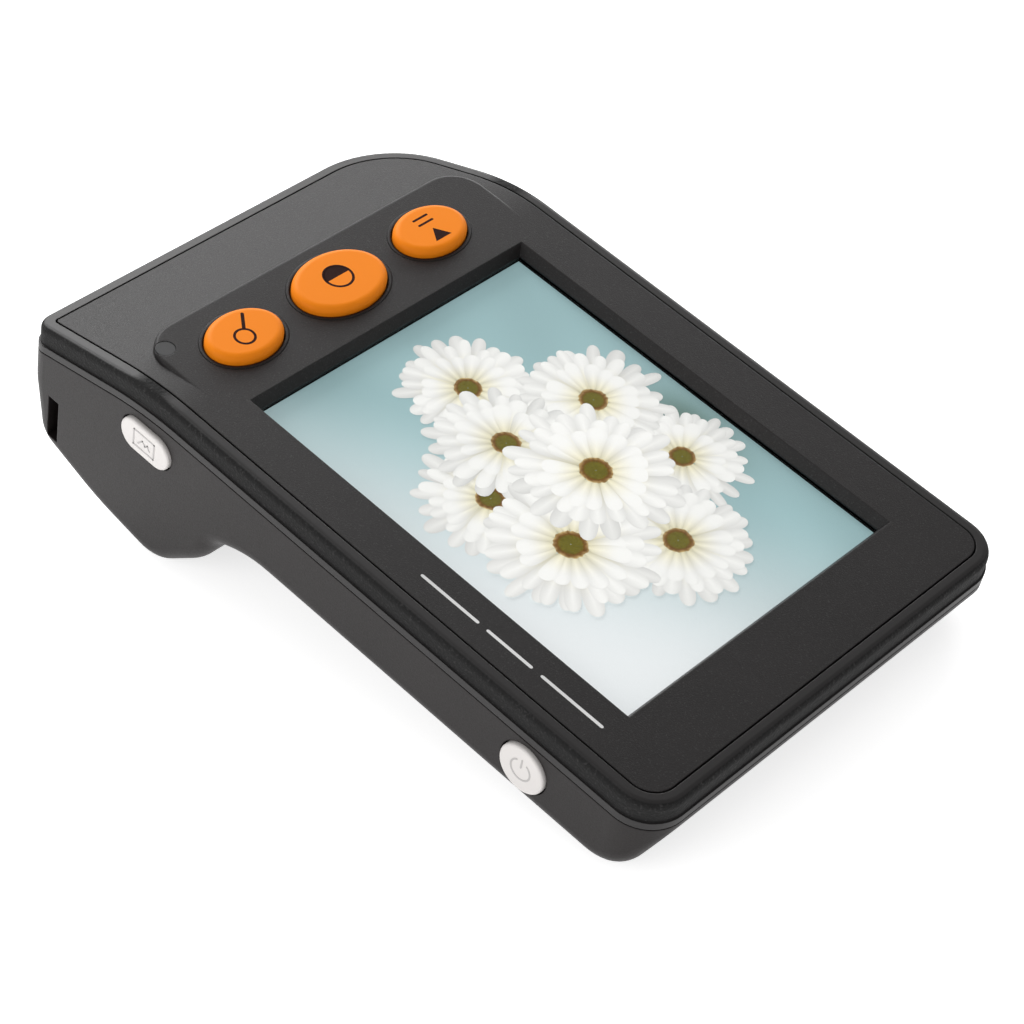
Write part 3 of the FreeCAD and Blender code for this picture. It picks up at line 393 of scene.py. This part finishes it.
def petals(number, along, across, reach, turn):
    # each petal is a grid of share along it by side across it; its half width grows as the square root of the
    # share and closes to a round tip; one side of a petal lies over the next
    rows, columns = petalShape["rows"], petalShape["columns"]
    allPoints, allColors, count = [], [], 0
    share, side = sweepGrid((0, -1), (1, 1), rows, columns)
    share = np.sin(share * math.pi / 2)  # closer rows towards the tip
    for ring, (size, petalCount, offset, bright) in enumerate(petalRings):
        index = np.arange(petalCount)
        scatter = wave(index + ring * 31.0, number + 1)
        angle = turn + (index + offset + 0.35 * (scatter - 0.5)) * 2 * math.pi / petalCount
        length = reach * size * (0.88 + 0.18 * wave(index + 7.0, number + ring))
        start = reach * petalShape["root"]
        width = reach * petalShape["width"] * (0.85 + 0.35 * wave(index + 3.0, number + 2 * ring))
        half = np.sqrt(share) * np.sqrt(np.maximum(1 - share ** petalShape["blunt"], 0)) + 0.01
        out = start + share[None] * (length[:, None] - start)
        bend = petalShape["sway"] * np.sin(share * 3)[None] * (scatter[:, None] - 0.5)
        sway = side[None] * half[None] * width[:, None] + bend
        x = along + out * np.cos(angle)[:, None] - sway * np.sin(angle)[:, None]
        y = across + out * np.sin(angle)[:, None] + sway * np.cos(angle)[:, None]
        layer = number * picture["layer"] + ring * petalShape["ring"]
        z = layer + 0.006 * (0.5 + 0.5 * side)[None] * np.ones_like(out)
        stripe = 0.035 * np.cos(side * 7.5)[None] * np.sin(share * math.pi)[None]
        tone = bright * (1.0 + 0.06 * scatter)[:, None] + stripe - 0.13 * (1 - share[None]) ** 2
        tone = tone - 0.10 * np.abs(side)[None] ** 4 * (1 - 0.4 * share[None])
        warm = np.clip(1 - share * 1.5, 0, 1)[None] ** 1.2
        base = np.clip(tone, 0, 1) ** 2.2
        colors = np.stack((base, base * (1 - 0.07 * warm), base * (0.97 - 0.36 * warm)), -1)
        allPoints.append(np.stack((x, y, z), -1).reshape(-1, 3))
        allColors.append(colors.reshape(-1, 3))
        count += petalCount
    return np.concatenate(allPoints), np.concatenate(allColors), gridFaces(rows, columns, count)


heart = {"rows": 9, "columns": 40, "size": 0.19, "lift": 0.0235, "middle": (0.15, 0.13, 0.015),
         "brown": (0.17, 0.065, 0.012), "fringe": (0.62, 0.46, 0.20)}


def flowerHeart(number, along, across, reach):
    # disc of rings: green-gold middle, brown grains at its edge, a loose gold fringe outside
    rows, columns = heart["rows"], heart["columns"]
    share, turn = sweepGrid((0.03, 0), (1, 1 - 1 / columns), rows, columns)
    angle = turn * 2 * math.pi
    rim = 1 + 0.1 * (wave(np.round(turn * columns), number) - 0.5) * share
    radius = reach * heart["size"] * share * rim
    x, y = along + radius * np.cos(angle), across + radius * np.sin(angle)
    z = np.full(len(x), number * picture["layer"] + heart["lift"])
    grain = wave(share * 91 + turn * 53, number + 5)
    middle, brown, fringe = (np.array(heart[key]) for key in ("middle", "brown", "fringe"))
    toBrown = np.clip((share - 0.62) * 6, 0, 1)[:, None]
    toFringe = (np.clip((share - 0.84) * 8, 0, 1) * (0.35 + 0.65 * grain))[:, None]
    colors = middle + (brown - middle) * toBrown
    colors = (colors + (fringe - colors) * toFringe) * (0.8 + 0.4 * grain)[:, None]
    faces = gridFaces(rows, columns, ringColumns=True)
    return np.c_[x, y, z], colors, faces


def bouquet():
    points, colors, faces, count = [], [], [], 0
    for number, (along, across, reach, turn) in enumerate(flowers):
        for part in (petals(number, along, across, reach, turn), flowerHeart(number, along, across, reach)):
            points.append(part[0])
            colors.append(part[1])
            faces.append(part[2] + count)
            count += len(part[0])
    points = np.concatenate(points) * mm
    points[:, :2] += viewLow
    points[:, 2] += panelTop + (picture["lift"] + 0.01) * mm
    piece = addPiece("screen_flowers", "case", pictureMaterial, points, np.concatenate(faces),
                     np.concatenate(colors))
    return thicken(piece, picture["sheet"] * mm)


groundSheet()
bouquet()
print("screen picture")


# painted shade: top depth and thickness of the black lining that darkens the opening's shaded wall
wallShade = {"top": 2.05, "thick": 0.03}


def paintedWallShade():
    # painted shade: a black lining on the opening's upright wall makes that shaded wall read black; a
    # rectangular path carrying a short upright line
    inner = np.array((viewLow, (viewHigh[0], viewLow[1]), viewHigh, (viewLow[0], viewHigh[1])))
    tall = windowHigh[2], face - wallShade["top"] * mm
    points = np.array([(x, y, z) for x, y in inner for z in tall])
    faces = gridFaces(4, 2, ringRows=True)
    piece = addPiece("screen_wall_painted_shade", "case", materials["foam"], points, faces)
    thicken(piece, wallShade["thick"] * mm)


paintedWallShade()


icons = {"inkAndShade": 0.03, "line": 0.42, "keyInk": 0.035, "keyLine": 0.28, "lift": 0.002}
inkLine = icons["line"]


def onTop(name, body, shapes, material, center, height, thickness):
    # flat shapes in millimetres laid on a level face, round a centre
    points, faces = joined(shapes)
    points = np.c_[points * mm + center[:2], np.full(len(points), height)]
    return thicken(addPiece(name, body, material, points, faces), thickness * mm)


def buttonIcon(button, shapes):
    low, high = caseBox(button)
    onTop(button + "_icon", button, shapes, inkMaterial, (low + high) / 2,
          high[2] + icons["lift"] * mm, icons["inkAndShade"])


def halfDisc(center, radius, steps=25):
    # flat half circle: angle over half a turn, by distance from nearly the centre to the radius
    turn, r = sweepGrid((0.25, 0.02 * radius), (0.75, radius), steps, 2)
    angle = turn * 2 * math.pi
    return np.c_[center[0] + r * np.cos(angle), center[1] + r * np.sin(angle)], gridFaces(steps, 2)


buttonIcon("contrast_button", [band((-0.4, 0), 2.5, inkLine), halfDisc((-0.4, 0), 2.3)])
buttonIcon("zoom_button", [band((0.8, -0.7), 1.75, inkLine), bar((-0.6, 0.35), (-3.0, 2.2), 0.55)])
buttonIcon("freeze_button", [bar((-2.4, -1.4), (-2.4, 1.4), inkLine), bar((-1.1, -1.4), (-1.1, 1.4), inkLine),
                             wedge(((0.4, 0), (3.0, 1.6), (3.0, -1.7)))])


def keyIcon(key, shapes):
    # flat shapes on the key's outer face: first number runs along the case, second up
    low, high = caseBox(key)
    center = (low + high) / 2
    points, faces = joined(shapes)
    points = np.c_[center[0] + points[:, 0] * mm, np.full(len(points), low[1] - icons["lift"] * mm),
                   center[2] + points[:, 1] * mm]
    thicken(addPiece(key + "_icon", key, keyInk, points, faces[:, ::-1]), icons["keyInk"] * mm)


def frameIcon(half, tall, width):
    # four strokes along the sides of a rectangle
    corners = ((-half, -tall), (half, -tall), (half, tall), (-half, tall))
    return [bar(corners[i], corners[(i + 1) % 4], width) for i in range(4)]


keyLine = icons["keyLine"]
keyIcon("mode_key", frameIcon(2.2, 1.5, keyLine) + [bar((-1.2, -0.7), (-0.3, 0.35), keyLine),
                                                     bar((-0.3, 0.35), (0.3, -0.3), keyLine),
                                                     bar((0.3, -0.3), (0.8, 0.2), keyLine),
                                                     bar((0.8, 0.2), (1.3, -0.6), keyLine)])
keyIcon("power_key", [band((0, 0), 1.9, keyLine, 0.33, 1.17, 40), bar((0, 0.5), (0, 2.0), keyLine)])


# three plain dashes beside the screen
marks = {"spans": ((-1.2, -12.3), (-14.4, -22.6), (-24.6, -35.4)), "across": -4.1, "width": 0.5, "inkAndShade": 0.02}
strokes = [bar((start, marks["across"]), (end, marks["across"]), marks["width"])
           for start, end in marks["spans"]]
onTop("bezel_marks", "case", strokes, whiteInk, screenCorner, face + icons["lift"] * mm,
      marks["inkAndShade"])

lip = {"gap": 0.16, "width": 0.7, "rise": 0.05, "sunk": 0.005, "thick": 0.02, "steps": 96, "profile": 7}
buttonSizes = {"zoom_button": (13.1, 10.0), "contrast_button": (16.5, 12.2), "freeze_button": (13.1, 10.0)}


def buttonLip(button, long, short):
    # low ridge round a button: an oval path carrying a half wave, highest in its middle
    low, high = caseBox(button)
    center = (low + high) / 2
    turn, share = sweepGrid((0, 0), (1 - 1 / lip["steps"], 1), lip["steps"], lip["profile"])
    angle = turn * 2 * math.pi
    reach = lip["gap"] + share * lip["width"]
    x = center[0] + (short / 2 + reach) * np.cos(angle) * mm
    y = center[1] + (long / 2 + reach) * np.sin(angle) * mm
    z = face + (lip["rise"] * np.sin(share * math.pi) ** 0.8 - lip["sunk"]) * mm
    faces = gridFaces(lip["steps"], lip["profile"], ringRows=True)
    piece = addPiece(button + "_rim", "case", materials["case_black"], np.c_[x, y, z], faces)
    for polygon in piece.data.polygons:
        polygon.use_smooth = True
    thicken(piece, lip["thick"] * mm, -1)


for button, (long, short) in buttonSizes.items():
    buttonLip(button, long, short)


cross = {"reach": 1.15, "width": 0.45, "gap": 0.004, "thick": 0.003}


def screwCrosses():
    # painted shade: two black strokes laid crosswise on the foot of each case screw stand in for the shade in
    # its cross recess, one a little below the other
    spots = caseSpots("case_screws")
    middle = (spots.min(0) + spots.max(0)) / 2
    shapes, heights = [], []
    for farEnd in (False, True):
        for farSide in (False, True):
            own = spots[((spots[:, 0] > middle[0]) == farEnd) & ((spots[:, 1] > middle[1]) == farSide)]
            center, foot = (own.min(0) + own.max(0)) / 2 / mm, own[:, 2].min()
            for turn in (0, 1):
                reach = np.array((cross["reach"], 0)) if turn else np.array((0, cross["reach"]))
                stroke = bar(center[:2] - reach, center[:2] + reach, cross["width"], 4)
                shapes.append(stroke)
                heights.append(np.full(len(stroke[0]), foot - (cross["gap"] + cross["gap"] * turn) * mm))
    points, faces = joined(shapes)
    points = np.c_[points * mm, np.concatenate(heights)]
    # painted shade: the black of the crosses stands in for the shade in each screw's cross recess
    inkAndShade = materials["barrel_black"]
    piece = addPiece("screw_cross_painted_shade", "case", inkAndShade, points, faces[:, ::-1])
    thicken(piece, cross["thick"] * mm)


screwCrosses()
print("icons and details")


stage = {"floorSize": 6.0, "floorColor": (0.86, 0.86, 0.86), "floorGlow": 0.7, "world": 0.45,
         "lens": 99.56, "from": (123.47, -212.88, 289.30),
         "right": (0.7111, 0.6873, 0.1482), "up": (-0.5799, 0.4541, 0.6764)}


def addFloor():
    size = stage["floorSize"] / 2
    x, y = sweepGrid((-size, -size), (size, size), 3, 3)
    mesh = bpy.data.meshes.new("floor")
    mesh.from_pydata(np.c_[x, y, np.full(len(x), cadBox[0][2])].tolist(), [], gridFaces(3, 3).tolist())
    floor = bpy.data.objects.new("floor", mesh)
    bpy.context.scene.collection.objects.link(floor)
    material, tree, shader = newMaterial("floor")
    shader.inputs["Base Color"].default_value = (*stage["floorColor"], 1)
    shader.inputs["Roughness"].default_value = 0.7
    shader.inputs["Specular IOR Level"].default_value = 0.1
    shader.inputs["Emission Color"].default_value = (1, 1, 1, 1)
    shader.inputs["Emission Strength"].default_value = stage["floorGlow"]
    mesh.materials.append(material)


def addLight(name, place, size, power):
    light = bpy.data.lights.new(name, "AREA")
    light.shape, light.size, light.energy = "SQUARE", size, power
    lamp = bpy.data.objects.new(name, light)
    bpy.context.scene.collection.objects.link(lamp)
    middle = (cadBox[0] + cadBox[1]) / 2
    lamp.location = middle + Vector(place)
    lamp.rotation_euler = (middle - lamp.location).to_track_quat("-Z", "Y").to_euler()


def addCamera():
    camera = bpy.data.objects.new("camera", bpy.data.cameras.new("camera"))
    bpy.context.scene.collection.objects.link(camera)
    camera.data.lens, camera.data.clip_start, camera.data.clip_end = stage["lens"], 0.01, 20
    right, up = (np.array(stage[key]) @ caseAxes for key in ("right", "up"))
    place = (screenCorner + np.array(stage["from"]) * mm) @ caseAxes
    turn = np.eye(4)
    turn[:3, 0], turn[:3, 1], turn[:3, 2], turn[:3, 3] = right, up, np.cross(right, up), place
    camera.matrix_world = Matrix(turn.tolist())
    bpy.context.scene.camera = camera


def addWorld():
    world = bpy.data.worlds.new("studio")
    world.use_nodes = True
    world.node_tree.nodes["Background"].inputs[0].default_value = (1, 1, 1, 1)
    world.node_tree.nodes["Background"].inputs[1].default_value = stage["world"]
    bpy.context.scene.world = world


addFloor()
addLight("key_light", (-0.55, 0.20, 0.42), 0.45, 3.9)
addLight("fill_light", (-0.05, -0.62, 0.30), 0.5, 1.5)
addLight("back_light", (-0.35, 0.60, 0.16), 0.4, 1.8)
addCamera()
addWorld()
bpy.context.scene.view_settings.view_transform = "Standard"
print("stage")
